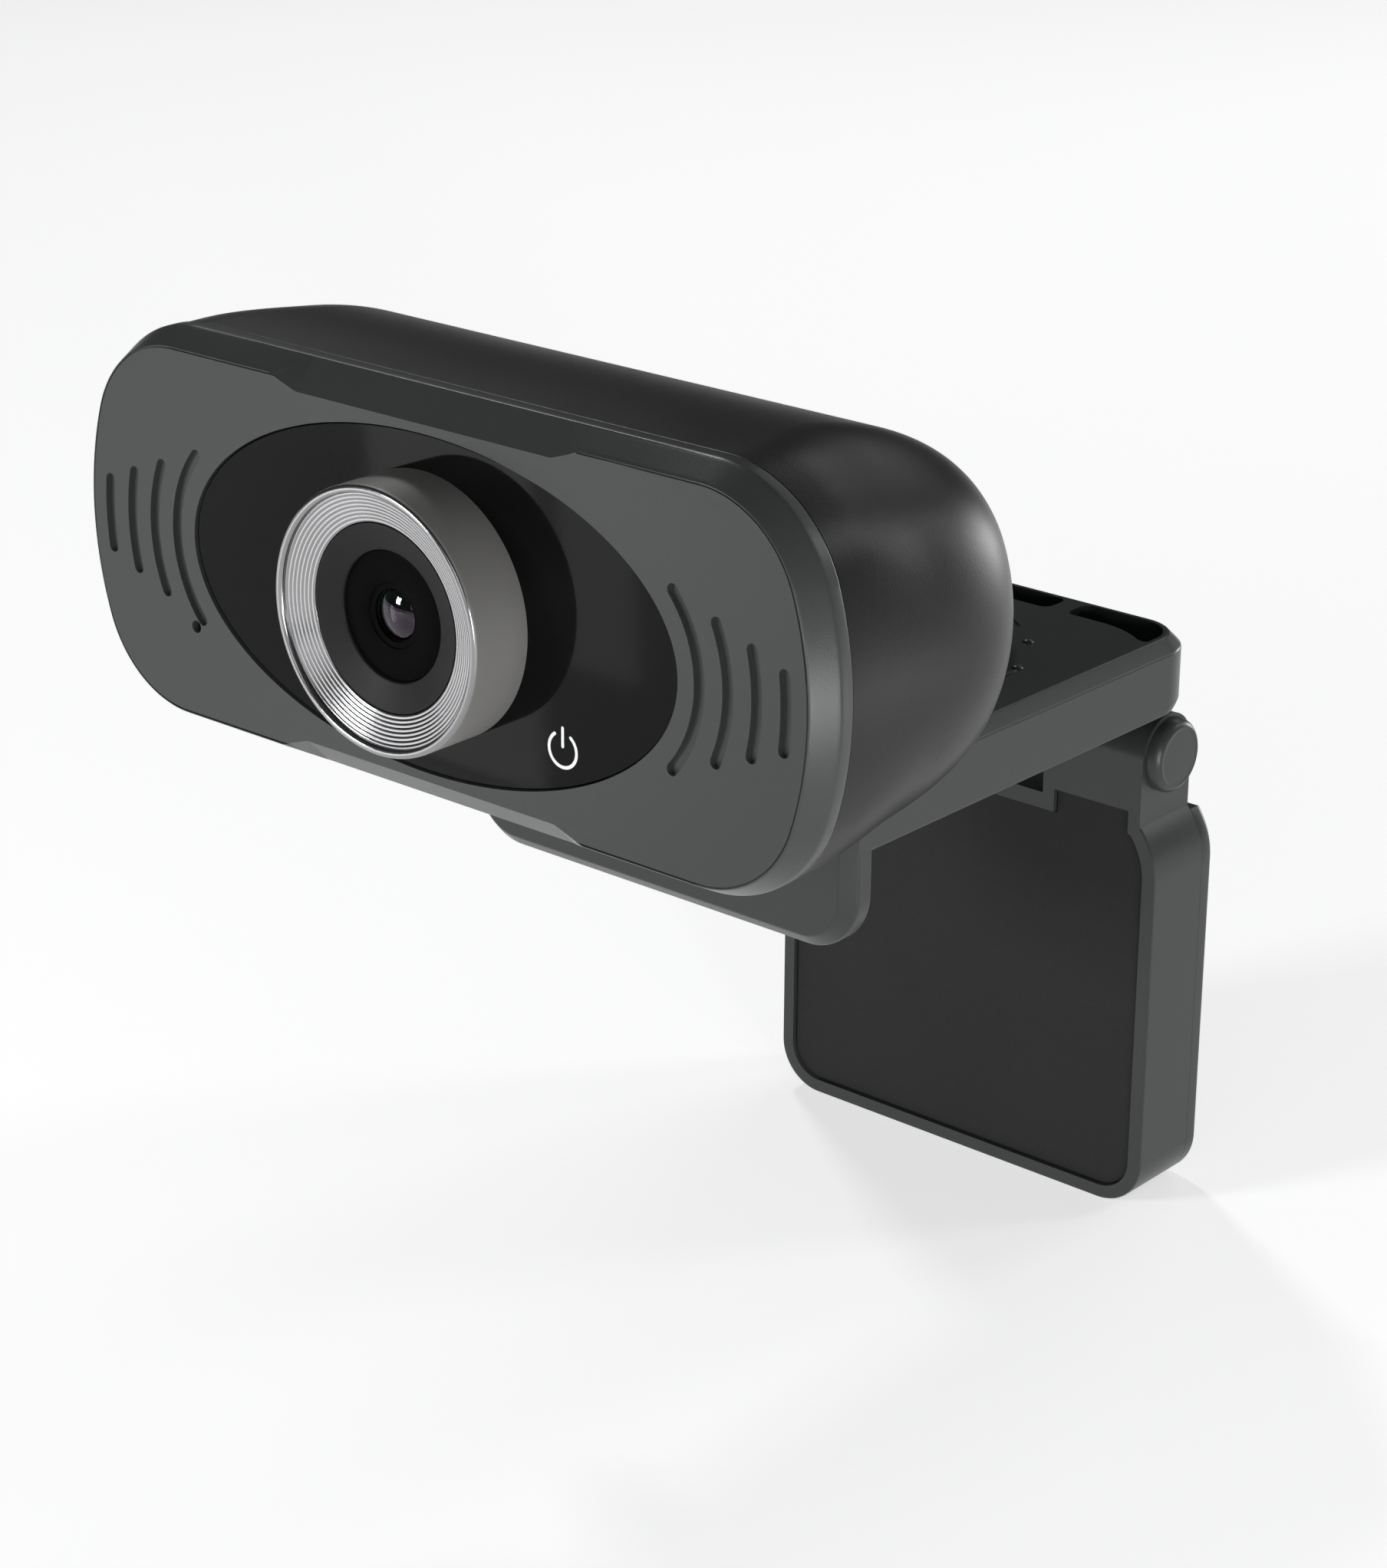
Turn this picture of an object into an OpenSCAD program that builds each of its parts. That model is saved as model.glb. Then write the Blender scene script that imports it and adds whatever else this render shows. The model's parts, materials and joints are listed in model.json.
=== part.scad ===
// Clip-on webcam: a barrel-ended camera head on a tilting neck and turntable, over a fold-out clip.
// Millimetres. The origin is where the head's pan axis meets the underside of the clip's rest pad.
// The camera looks along -Y, the clip's leg hangs down at the back, and X runs across the head.

/* [Head] */
// Half the width of the head's flat front face
face_hx = 47.95; // [46:0.05:50]
// Half the height of the flat front face
face_hz = 19.5; // [18.5:0.1:20.5]
// How far the front chamfer spreads the outline sideways
chamfer_x = 1.4; // [1:0.05:2.5]
// How far the front chamfer spreads the outline up and down
chamfer_z = 1.6; // [1.2:0.1:1.9]
// Depth of the front chamfer
chamfer_y = 3; // [1.5:0.1:3.4]
// Depth of the bezel, from the face to its open edge
bezel_depth = 4.6; // [4.4:0.1:5.5]
// Depth of the whole head behind its face
head_depth = 43; // [41:0.5:45]
// Wall thickness of the bezel and the rear shell
wall = 2; // [1.6:0.1:2.2]
// Distance from the pan axis forward to the face
face_reach = 67; // [66:0.5:70]
// Height of the lens axis above the rest pad
head_z = 30.1; // [30:0.1:32]

/* [Face] */
// Half the width of the oval glossy panel
panel_hx = 32.4; // [30:0.1:33]
// Half the height of the oval glossy panel
panel_hz = 17.15; // [16.5:0.05:17.4]
// Width of each grille groove
slot_w = 1.3; // [1:0.1:1.5]
// Depth of each grille groove
slot_depth = 0.6; // [0.4:0.1:0.8]
// Radius of the microphone hole
mic_r = 0.6; // [0.5:0.05:0.65]

/* [Lens] */
// Outer radius of the bright lens ring
ring_r = 13.5; // [13:0.1:14]
// How far the ring stands proud of the face
ring_reach = 6.9; // [6:0.1:7.5]
// Radius where the ring's grooved cone ends
cone_r = 9.45; // [9:0.05:9.8]
// Number of grooves turned in the cone
grooves = 8; // [4:1:10]
// Radius of the black disc round the glass
disc_r = 6.55; // [6:0.05:7]
// Radius of the front glass
glass_r = 2.6; // [2:0.1:3]

/* [Clip] */
// Half the width of the clip's arm
arm_hx = 26.7; // [25:0.1:28]
// Distance from the pan axis forward to the lip's front face
arm_front = 33.7; // [32:0.1:34]
// Distance from the pan axis back to the arm's rear edge
arm_rear = 29.5; // [29:0.1:30]
// Height of the arm's top face above the rest pad
arm_top = 9; // [8.4:0.1:9]
// How far the lip hangs below the rest pad
lip_drop = 11; // [9:0.1:11.5]
// Thickness of the lip
lip_t = 3.65; // [3:0.05:4]
// Radius of the lip's lower corners and the arm's rear corners
arm_corner = 6.5; // [5:0.1:8]

/* [Leg] */
// Half the width of the leg
leg_hx = 27; // [26.5:0.1:28]
// Distance from the pan axis back to the leg's pad side
leg_front = 21.6; // [21.4:0.1:21.6]
// Thickness of the leg
leg_t = 11.8; // [11:0.1:12]
// How far the leg reaches below the rest pad
leg_drop = 61.2; // [58:0.1:61.2]
// Half the width across the leg's hinge tabs
tab_hx = 24.6; // [24:0.1:25]
// Half the width of the gap between the tabs
gap_hx = 11.1; // [11:0.1:12]
// Radius of the hinge pin
pin_r = 2; // [1.5:0.1:2.2]
// Wall radius of the tripod thread
thread_r = 2.55; // [2.5:0.05:2.7]

/* [Hidden] */
eps = 0.01;
gap = 0.1;
fit = 0.05;
$fn = 64;

face_y = -face_reach;
end_r = 36;
corner_r = 12;
crest_hx = face_hx + chamfer_x;
crest_hz = face_hz + chamfer_z;
// How much larger the outline's radii are at the chamfer's outer edge
crest_round = 2;
shell_hx = crest_hx - 0.2;
shell_hz = crest_hz - 0.1;
round_start = 8;
plan_power = 4.2;
side_power = 2.3;
back_end_r = 28;
back_corner_r = 17;
// Upper edge of the chamfer's deeper middle, and where it starts and ends across the face
dip_hz = face_hz - 1.33;
dip_in = 17;
dip_out = 20.6;
// Thickness of the bezel's front plate
front_t = 3;
// Seat of the panel in the face, and the panel's own thickness
seat_depth = 1.6;
panel_t = 1.3;
// Grille grooves: the outermost one's place, their spacing, and each one's half height and bow radius
slot_x = 45.3;
slot_step = 3.4;
slot_z = [3.6, 5.1, 6.7, 8.7];
slot_r = [30.5, 22, 16.5, 13.25];
icon_x = 17.9;
icon_z = -10.4;
icon_r = 1.76;
icon_w = 0.34;
mic_x = -32.8;
mic_z = -9.65;

// Depths along the lens axis, behind the face
ring_shank_r = 11.9;
disc_y = -4.3;
barrel_r = 6.2;
barrel_y = -3.5;
barrel_end = 9;
holder_y = 5.5;
holder_end = 13.4;
board_y = 14.5;
board_t = 1.2;
main_y = 22;
post_x = 37;
post_z = 8;
led_y = 8;

// Tilt hinge of the head
tilt_y = face_y + 42;
tilt_z = head_z - 16.5;
tilt_r = 1.5;
neck_r = 4;
ear_r = 4;
barrel_hx = 7;
ear_in = 7.8;
ear_out = 10.8;
plate_y = 27;
plate_t = 2.5;
boss_x = 15;
boss_z = -4;
gland_x = -24;
gland_z = 2;
gland_y = 41.6;

// Turntable and its stud
disc_z = arm_top + 0.3;
disc_t = 3.5;
table_r = 16.5;
stud_r = 4;
stud_head_r = 6;
mark_r = 19.6;

// Clip arm
arm_low = 0.4;
arm_chamfer = 1.5;
pad_t = 0.9;
cover_t = 1;
well_r = 11;
well_top = 4.9;
cavity_top = 6.4;
lip_back = -arm_front + lip_t;
recess = [22, -28.5, 18];
pocket_y = [23.4, 27.4];
pocket_depth = 5;

// Leg hinge
knuckle_hx = 10.8;
knuckle_r = 4.8;
pin_y = leg_front + knuckle_r;
pin_z = -5.7;
tab_t = 2 * knuckle_r;
leg_top = -11.8;
leg_shoulder_z = -19.8;
leg_shoulder_r = 9.9;
leg_foot_r = 5.8;
leg_back = leg_front + leg_t;
frame_w = 1.8;
leg_floor = 2.5;
cover_seat = leg_t - tab_t;
cover_top = -13.8;
tripod_z = -40;

// Where the corner arcs of the barrel-ended outline are centred, across
function corner_x(hx, hz, re, rf) = hx - re + sqrt(pow(re - rf, 2) - pow(hz - rf, 2));
// One quarter of the barrel-ended outline, from the middle of the end to the top edge
function quarter(hx, hz, re, rf, n = 7) =
    let (cx = corner_x(hx, hz, re, rf), turn = atan2(hz - rf, cx - hx + re))
    concat(
        [for (i = [0:n - 1]) let (a = turn * i / n) [hx - re + re * cos(a), re * sin(a)]],
        [for (i = [0:n]) let (a = turn + (90 - turn) * i / n) [cx + rf * cos(a), hz - rf + rf * sin(a)]]
    );
function backwards(p) = [for (i = [len(p) - 1:-1:0]) p[i]];
function flip(p, sx, sz) = [for (q = p) [q[0] * sx, q[1] * sz]];
function but_first(p) = [for (i = [1:len(p) - 1]) p[i]];
function barrel_points(hx, hz, re, rf) =
    let (q = quarter(hx, hz, re, rf), tail = but_first(q))
    concat(q, backwards(flip(q, -1, 1)), flip(tail, -1, -1), backwards(flip(tail, 1, -1)));

module barrel_outline(hx, hz, inset = 0) {
    polygon(barrel_points(hx - inset, hz - inset, end_r - inset, corner_r - inset));
}

// The outline at the chamfer's outer edge, whose ends and corners are rounder than the face's
module crest_outline(inset = 0) {
    polygon(barrel_points(crest_hx - inset, crest_hz - inset,
                          end_r + crest_round - inset, corner_r + crest_round - inset));
}

module oval(hx, hz) {
    polygon([for (a = [0:5:355]) [hx * cos(a), hz * sin(a)]]);
}

// Draws a flat outline in the face's plane, from a depth behind the face and with a thickness
module in_head(y, t) {
    translate([0, face_y + y + t, head_z]) rotate([90, 0, 0]) linear_extrude(t) children();
}

// Turns a profile of [radius, depth behind the face] round the lens axis
module turned(profile) {
    translate([0, face_y, head_z]) rotate([-90, 0, 0]) rotate_extrude() polygon(profile);
}

// A cylinder along +Y, from a depth behind the face
module peg(x, z, y, r, len) {
    translate([x, face_y + y, head_z + z]) rotate([-90, 0, 0]) cylinder(r = r, h = len);
}

module block(x, y, z, size) {
    translate([x - size[0] / 2, face_y + y, head_z + z - size[2] / 2]) cube(size);
}

// A cylinder along X, centred on x = 0 and given by its own half length
module crossbar(y, z, r, half) {
    translate([-half, y, z]) rotate([0, 90, 0]) cylinder(r = r, h = 2 * half);
}

module both_sides() {
    children();
    mirror([1, 0, 0]) children();
}

module corners(x, z) {
    for (sx = [-1, 1]) for (sz = [-1, 1]) translate([sx * x, 0, sz * z]) children();
}

// Points along an arc, both ends included
function arc_points(c, r, from, to, n) =
    [for (i = [0:n]) let (a = from + (to - from) * i / n) c + r * [cos(a), sin(a)]];

// A bowed grille groove with round ends, bowed outward about its outermost point
module slot(x, hz, r) {
    w = slot_w / 2;
    spread = asin(hz / r);
    c = [x - r, 0];
    top = c + r * [cos(spread), sin(spread)];
    low = c + r * [cos(spread), -sin(spread)];
    polygon(concat(
        arc_points(c, r + w, -spread, spread, 10),
        but_first(arc_points(top, w, spread, spread + 180, 6)),
        but_first(arc_points(c, r - w, spread, -spread, 10)),
        but_first(arc_points(low, w, 180 - spread, 350 - spread, 6))
    ));
}

module slots() {
    for (i = [0:len(slot_z) - 1]) for (side = [0, 1])
        mirror([side, 0]) slot(slot_x - slot_step * i, slot_z[i], slot_r[i]);
}

// Wedge taken out of the chamfer along the middle of one long edge
module dip() {
    translate([0, face_y, head_z]) hull() {
        translate([0, 0, dip_hz]) cube([2 * dip_in, eps, eps], center = true);
        translate([0, 0, face_hz + 1]) cube([2 * dip_out + 2, eps, eps], center = true);
        translate([0, chamfer_y, crest_hz]) cube([2 * dip_in, eps, eps], center = true);
    }
}

module icon_shape(grow = 0) {
    translate([icon_x, icon_z]) {
        difference() {
            circle(r = icon_r + icon_w / 2 + grow);
            circle(r = icon_r - icon_w / 2 - grow);
            polygon([[0, 0], [-1.5, 2.6], [1.5, 2.6]]);
        }
        translate([-icon_w / 2 - grow, 0.3]) square([icon_w + 2 * grow, 2.2]);
    }
}

module front_bezel() {
    color([0.24, 0.25, 0.25]) difference() {
        union() {
            difference() {
                hull() {
                    in_head(0, eps) barrel_outline(face_hx, face_hz);
                    in_head(chamfer_y, bezel_depth - chamfer_y) crest_outline();
                }
                in_head(front_t, bezel_depth) crest_outline(wall);
            }
            corners(post_x, post_z) peg(0, 0, front_t - 0.5, 2.4, main_y - front_t + 0.5);
        }
        dip();
        translate([0, 0, 2 * head_z]) mirror([0, 0, 1]) dip();
        in_head(-1, seat_depth + 1) oval(panel_hx + gap, panel_hz + gap);
        peg(0, 0, -1, ring_shank_r + gap, 6);
        peg(mic_x, mic_z, -1, mic_r, 8);
        in_head(-1, slot_depth + 1) slots();
        corners(post_x, post_z) peg(0, 0, main_y - 8, 0.8, 9);
        block(icon_x, front_t - 2, icon_z, [9, 3, 7]);
    }
}

module glossy_panel() {
    color([0.03, 0.03, 0.035]) difference() {
        in_head(seat_depth - panel_t, panel_t) oval(panel_hx, panel_hz);
        peg(0, 0, -1, ring_shank_r + gap, 6);
        in_head(-1, seat_depth + 2) icon_shape();
    }
}

module power_icon() {
    color([0.85, 0.87, 0.88]) in_head(seat_depth - panel_t, panel_t) icon_shape(-0.01);
}

module touch_board() {
    color([0.1, 0.3, 0.2]) block(icon_x, seat_depth + 0.2, icon_z, [8.6, 0.8, 6.6]);
}

module status_led() {
    color([0.9, 0.9, 0.8]) block(icon_x, seat_depth + 1.1, icon_z, [1.6, 0.7, 0.8]);
}

// The ring's cone carries stepped grooves, so its profile is worked out groove by groove
module lens_ring() {
    lip = 0.55;
    in_y = -ring_reach + 0.25;
    cone_y = -5.2;
    cone_in = ring_r - lip;
    step_r = (cone_in - cone_r) / grooves;
    step_y = (cone_y - in_y) / grooves;
    cone = [for (i = [0:grooves - 1]) each [
        [cone_in - step_r * i, in_y + step_y * i],
        [cone_in - step_r * (i + 0.6), in_y + step_y * i],
        [cone_in - step_r * (i + 0.8), in_y + step_y * (i + 0.8)]]];
    color([0.75, 0.75, 0.76]) turned(concat(
        [[ring_shank_r, 3.6], [ring_shank_r, 0.3], [ring_r, 0.3], [ring_r, -ring_reach + 0.3],
         [ring_r - 0.3, -ring_reach], [cone_in, -ring_reach]],
        cone,
        [[cone_r, cone_y], [cone_r, 3.6]]
    ));
}

module ring_nut() {
    color([0.2, 0.2, 0.2]) turned([[ring_shank_r, 3.6], [cone_r, 3.6], [cone_r, 4.8], [14.5, 4.8],
                                   [14.5, 3.1], [ring_shank_r + gap, 3.1], [ring_shank_r + gap, 3.6]]);
}

module baffle_ring() {
    color([0.16, 0.16, 0.16]) turned([[cone_r - 0.02, -5.1], [disc_r, disc_y], [disc_r, -3.4],
                                      [cone_r - 0.02, -3.4]]);
}

module aperture_disc() {
    color([0.02, 0.02, 0.02]) turned([[glass_r + 0.3, disc_y + 0.2], [disc_r - 0.02, disc_y + 0.2],
                                      [disc_r - 0.02, barrel_y], [glass_r, barrel_y], [glass_r, disc_y + 0.5]]);
}

// A glass dome: the arc of its front face is worked out from its own height
module front_lens() {
    rise = 0.9;
    r = (glass_r * glass_r + rise * rise) / (2 * rise);
    top = disc_y + 0.05;
    turn = asin(glass_r / r);
    color([0.3, 0.45, 0.4]) turned(concat(
        [for (i = [0:8]) let (a = turn * i / 8) [(r * sin(a)) * 0.995, top + r - r * cos(a)]],
        [[glass_r * 0.995, 0.2], [0, 0.2]]
    ));
}

module lens_barrel() {
    color([0.05, 0.05, 0.05]) turned([[glass_r, barrel_y], [barrel_r, barrel_y], [barrel_r, barrel_end],
                                      [4.2, barrel_end], [4.2, 6.2], [3.4, 6.2], [3.4, 0.3], [glass_r, 0.3]]);
}

module rear_lens() {
    color([0.4, 0.5, 0.55]) turned([[0, 6.3], [4.15, 6.3], [4.15, 8], [2, 8.4], [0, 8.5]]);
}

module lens_holder() {
    color([0.08, 0.08, 0.08]) difference() {
        union() {
            peg(0, 0, holder_y, barrel_r + 1.4, 5);
            block(0, holder_y + 4, 0, [17, holder_end - holder_y - 4, 17]);
        }
        peg(0, 0, holder_y - 1, barrel_r, barrel_end - holder_y + 1.5);
        block(0, barrel_end + 0.4, 0, [10, 8, 10]);
    }
}

module ir_filter() {
    color([0.75, 0.45, 0.5]) block(0, 10.4, 0, [9.9, 0.5, 9.9]);
}

module image_sensor() {
    color([0.15, 0.2, 0.3]) block(0, board_y - 1.1, 0, [8.4, 1.1, 8.4]);
}

module camera_board() {
    color([0.05, 0.25, 0.12]) union() {
        block(0, board_y, 0, [34, board_t, 26]);
        block(0, holder_end, 11, [12, board_y - holder_end, 2]);
    }
}

module board_link() {
    color([0.85, 0.85, 0.8]) block(0, board_y + board_t, 8, [14, main_y - board_y - board_t, 3]);
}

module main_board() {
    color([0.05, 0.25, 0.12]) difference() {
        block(0, main_y, 0, [82, board_t, 22]);
        corners(post_x, post_z) peg(0, 0, main_y - 1, 0.9, 4);
    }
}

module controller_chip() {
    color([0.06, 0.06, 0.07]) block(-16, main_y - 1, -2, [9, 1, 9]);
}

module usb_header() {
    color([0.9, 0.88, 0.8]) block(22, main_y + board_t, 5, [9, 4.5, 5]);
}

module board_spacers() {
    color([0.7, 0.65, 0.4]) for (x = [-14, 14]) difference() {
        peg(x, -9, board_y + board_t, 2, main_y - board_y - board_t);
        peg(x, -9, board_y, 1, 9);
    }
}

module board_screws() {
    color([0.6, 0.6, 0.62]) corners(post_x, post_z) {
        peg(0, 0, main_y + board_t, 1.7, 1);
        peg(0, 0, main_y - 6, 0.78, 6 + board_t);
    }
}

module microphone() {
    color([0.7, 0.7, 0.7]) peg(mic_x, mic_z, 5.4, 1.4, 1.5);
}

module mic_boot() {
    color([0.05, 0.05, 0.05]) difference() {
        peg(mic_x, mic_z, front_t + 0.02, 1.95, 4.2);
        peg(mic_x, mic_z, 1, mic_r, 5);
        peg(mic_x, mic_z, 5.4, 1.42, 3);
    }
}

// A closed body through rings of points in the face's plane, each ring at its own depth
module loft(rings, depths) {
    n = len(rings[0]);
    m = len(rings);
    points = [for (k = [0:m - 1]) each [for (q = rings[k]) [q[0], face_y + depths[k], head_z + q[1]]]];
    sides = [for (k = [0:m - 2]) each [for (i = [0:n - 1]) let (a = k * n + i, b = k * n + (i + 1) % n)
        each [[a, b, b + n], [a, b + n, a + n]]]];
    ends = [[for (i = [n - 1:-1:0]) i], [for (i = [0:n - 1]) (m - 1) * n + i]];
    polyhedron(points, concat(sides, ends));
}

// The rear shell shrinks along its depth by two superellipses, flatter in plan than in profile,
// while its outline's ends and corners grow rounder
function shell_ring(u, inset) =
    let (x = (shell_hx - inset) * pow(1 - pow(u, plan_power), 1 / plan_power),
         z = (shell_hz - inset) * pow(1 - pow(u, side_power), 1 / side_power),
         mix = min(1, u * 3), k = z / (shell_hz - inset))
    barrel_points(x, z, ((end_r + crest_round) * (1 - mix) + back_end_r * mix) * k,
                  ((corner_r + crest_round) * (1 - mix) + back_corner_r * mix) * k);

module shell_body(inset, from, last) {
    steps = 12;
    us = [for (i = [0:steps]) last * sin(90 * i / steps)];
    span = head_depth - inset - round_start;
    loft(
        concat([shell_ring(0, inset)], [for (u = us) shell_ring(u, inset)]),
        concat([from], [for (u = us) round_start + span * u])
    );
}

// Side view of the bracket's ears: an eye round the tilt pin, joined to the plate's edge
module ear_shape(grow = 0) {
    hull() {
        translate([tilt_y, tilt_z]) circle(r = ear_r + grow, $fn = 32);
        translate([face_y + plate_y + 0.5, head_z - 15 - grow]) square([2, 9 + 2 * grow]);
    }
}

module rear_shell() {
    tongue = 3.4;
    color([0.13, 0.13, 0.135]) difference() {
        union() {
            difference() {
                shell_body(0, bezel_depth, 0.995);
                shell_body(wall, bezel_depth - 1, 0.99);
            }
            difference() {
                union() {
                    in_head(bezel_depth - 1.4, 1.5) crest_outline(wall + gap);
                    in_head(bezel_depth + gap, 2.4) crest_outline(1);
                }
                in_head(bezel_depth - 2, 6) crest_outline(tongue);
            }
            for (x = [-boss_x, boss_x]) peg(x, boss_z, plate_y + plate_t, 2.6, 11);
        }
        for (x = [-boss_x, boss_x]) peg(x, boss_z, plate_y, 0.8, 9);
        both_sides() translate([ear_in - gap, 0, 0]) rotate([90, 0, 90])
            linear_extrude(ear_out - ear_in + 2 * gap) ear_shape(gap);
        peg(gland_x, gland_z, 36, 3.45, 12);
        peg(gland_x, gland_z, gland_y, 4.7, 12);
    }
}

module cable_gland() {
    color([0.05, 0.05, 0.05]) difference() {
        union() {
            peg(gland_x, gland_z, gland_y - 3.8, 3.4, 5.4);
            peg(gland_x, gland_z, gland_y, 4.6, 1.6);
            peg(gland_x, gland_z, gland_y - 3.8, 4.4, 1.5);
        }
        peg(gland_x, gland_z, 36, 2, 12);
    }
}

module tilt_bracket() {
    color([0.3, 0.31, 0.32]) difference() {
        union() {
            block(0, plate_y, -8.5, [36, plate_t, 13]);
            both_sides() translate([ear_in, 0, 0]) rotate([90, 0, 90])
                linear_extrude(ear_out - ear_in) ear_shape();
        }
        crossbar(tilt_y, tilt_z, tilt_r, 20);
        for (x = [-boss_x, boss_x]) peg(x, boss_z, plate_y - 1, 1, 6);
    }
}

module bracket_screws() {
    color([0.6, 0.6, 0.62]) for (x = [-boss_x, boss_x]) {
        peg(x, boss_z, plate_y - 1, 1.8, 1);
        peg(x, boss_z, plate_y - 0.5, 0.78, 8);
    }
}

module tilt_pin() {
    color([0.5, 0.5, 0.52]) union() {
        crossbar(tilt_y, tilt_z, tilt_r, ear_out + 0.2);
        both_sides() translate([ear_out, tilt_y, tilt_z]) rotate([0, 90, 0]) cylinder(r = 2.6, h = 0.9);
    }
}

module tilt_washers() {
    color([0.6, 0.6, 0.6]) both_sides() translate([ear_in - 0.5, tilt_y, tilt_z]) rotate([0, 90, 0])
        difference() {
            cylinder(r = 3.6, h = 0.5);
            translate([0, 0, -1]) cylinder(r = tilt_r + 0.02, h = 3);
        }
}

module neck() {
    color([0.13, 0.13, 0.135]) difference() {
        union() {
            translate([0, 0, disc_z]) cylinder(r = table_r, h = disc_t, $fn = 96);
            translate([-barrel_hx, 0, 0]) rotate([90, 0, 90]) linear_extrude(2 * barrel_hx) hull() {
                translate([tilt_y, tilt_z]) circle(r = neck_r, $fn = 32);
                translate([-14, tilt_z - neck_r]) square([4, disc_z + disc_t - tilt_z + neck_r + 1]);
            }
        }
        crossbar(tilt_y, tilt_z, tilt_r + fit, 20);
        translate([0, 0, disc_z - 1]) cylinder(r = stud_r, h = 12);
        translate([0, 0, disc_z + disc_t - 1.8]) cylinder(r = stud_head_r + 0.02, h = 12);
    }
}

module swivel_stud() {
    color([0.55, 0.55, 0.57]) difference() {
        union() {
            translate([0, 0, 2.3]) cylinder(r = stud_r, h = disc_z + disc_t - 2.3);
            translate([0, 0, disc_z + disc_t - 1.8]) cylinder(r = stud_head_r, h = 1.5);
        }
        translate([0, 0, disc_z + disc_t - 2]) cylinder(r = 2, h = 4, $fn = 6);
    }
}

module swivel_washer() {
    color([0.6, 0.6, 0.6]) translate([0, 0, 4.1]) difference() {
        cylinder(r = 8, h = 0.5);
        translate([0, 0, -1]) cylinder(r = stud_r, h = 3);
    }
}

module swivel_nut() {
    color([0.6, 0.6, 0.62]) translate([0, 0, 2.3]) difference() {
        cylinder(r = 7, h = 1.8, $fn = 6);
        translate([0, 0, -1]) cylinder(r = stud_r, h = 5);
    }
}

module glide_ring() {
    color([0.85, 0.85, 0.82]) translate([0, 0, arm_top - 0.6]) difference() {
        cylinder(r = 15, h = 0.6);
        translate([0, 0, -1]) cylinder(r = 8, h = 3);
    }
}

// Plan outline of the arm: cut front corners and round rear ones
module arm_plan(inset, rear_cut = 0) {
    side = arm_hx - inset;
    hull() {
        for (sx = [-1, 1]) translate([sx * (arm_hx - arm_corner), arm_rear - arm_corner - rear_cut])
            circle(r = arm_corner - inset, $fn = 48);
        translate([-side, -arm_front + inset + arm_chamfer]) square([2 * side, 1]);
        translate([-side + arm_chamfer, -arm_front + inset]) square([2 * (side - arm_chamfer), 1]);
    }
}

// The middle pocket is straight; the outer ones run along the rear edge and round the arm's corner
module arm_pockets() {
    wide = pocket_y[1] - pocket_y[0];
    rim = arm_rear - pocket_y[1];
    start = 11.9;
    tip = arm_rear - 8.5;
    bend = [arm_hx - arm_corner - 3.6, arm_rear - arm_corner - 11];
    bend_r = pocket_y[0] - bend[1];
    corner = arc_points([arm_hx, arm_rear] - arm_corner * [1, 1], arm_corner - rim, 90, 0, 8);
    inner = arc_points(bend, bend_r, asin((tip - bend[1]) / bend_r), 90, 6);
    translate([0, 0, arm_top - pocket_depth]) linear_extrude(pocket_depth + 1) {
        translate([2.5 - start, pocket_y[0]]) square([2 * start - 5, wide]);
        both_sides() polygon(concat(
            [[start, pocket_y[1]]], corner, [[arm_hx - rim, tip]], inner, [[start, pocket_y[0]]]
        ));
    }
}

// The lip: the arm's front edge carried down, with rounded lower corners and a chamfered rim
module lip() {
    module sheet(inset, y, t) {
        translate([0, y + t, 0]) rotate([90, 0, 0]) linear_extrude(t) hull() {
            for (sx = [-1, 1]) translate([sx * (arm_hx - arm_corner), -lip_drop + arm_corner])
                circle(r = arm_corner - inset, $fn = 32);
            translate([-arm_hx + inset, 2]) square([2 * (arm_hx - inset), 2]);
        }
    }
    hull() {
        sheet(arm_chamfer, -arm_front, eps);
        sheet(0, -arm_front + arm_chamfer, lip_t - arm_chamfer);
    }
}

module detent_marks() {
    for (sx = [-1, 1]) for (a = [14, 40]) rotate(90 - sx * (90 - a))
        translate([mark_r, 0, arm_top - 0.35]) sphere(r = 0.65, $fn = 16);
}

module clip_arm() {
    color([0.27, 0.29, 0.285]) difference() {
        union() {
            hull() {
                translate([0, 0, arm_low]) linear_extrude(eps) arm_plan(0, 1);
                translate([0, 0, arm_low + 1]) linear_extrude(arm_top - arm_low - arm_chamfer - 1) arm_plan(0);
                translate([0, 0, arm_top - eps]) linear_extrude(eps) arm_plan(arm_chamfer);
            }
            lip();
            translate([-knuckle_hx, pin_y, pin_z]) rotate([0, 90, 0])
                cylinder(r = knuckle_r, h = 2 * knuckle_hx);
            translate([-knuckle_hx, pin_y - knuckle_r, pin_z])
                cube([2 * knuckle_hx, knuckle_r + arm_rear - pin_y, arm_low - pin_z + 1]);
            detent_marks();
        }
        arm_pockets();
        translate([-recess[0], recess[1], arm_low - 1])
            cube([2 * recess[0], recess[2] - recess[1], pad_t + cover_t - arm_low + 1]);
        difference() {
            translate([-recess[0] + 1.5, recess[1] + 1.5, arm_low])
                cube([2 * recess[0] - 3, recess[2] - recess[1] - 3, cavity_top - arm_low]);
            cylinder(r = well_r + 2, h = 20);
            for (sx = [-1, 1]) for (y = [-22, 12]) translate([sx * 17, y, 0]) cylinder(r = 2.4, h = 20);
        }
        translate([0, 0, arm_low]) cylinder(r = well_r, h = well_top - arm_low);
        cylinder(r = stud_r + fit, h = 20);
        translate([0, 0, arm_top - 0.6]) cylinder(r = 15.05, h = 2);
        crossbar(pin_y, pin_z, pin_r + 1, 40);
        for (sx = [-1, 1]) for (y = [-22, 12]) translate([sx * 17, y, 0]) cylinder(r = 0.8, h = 6);
    }
}

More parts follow.
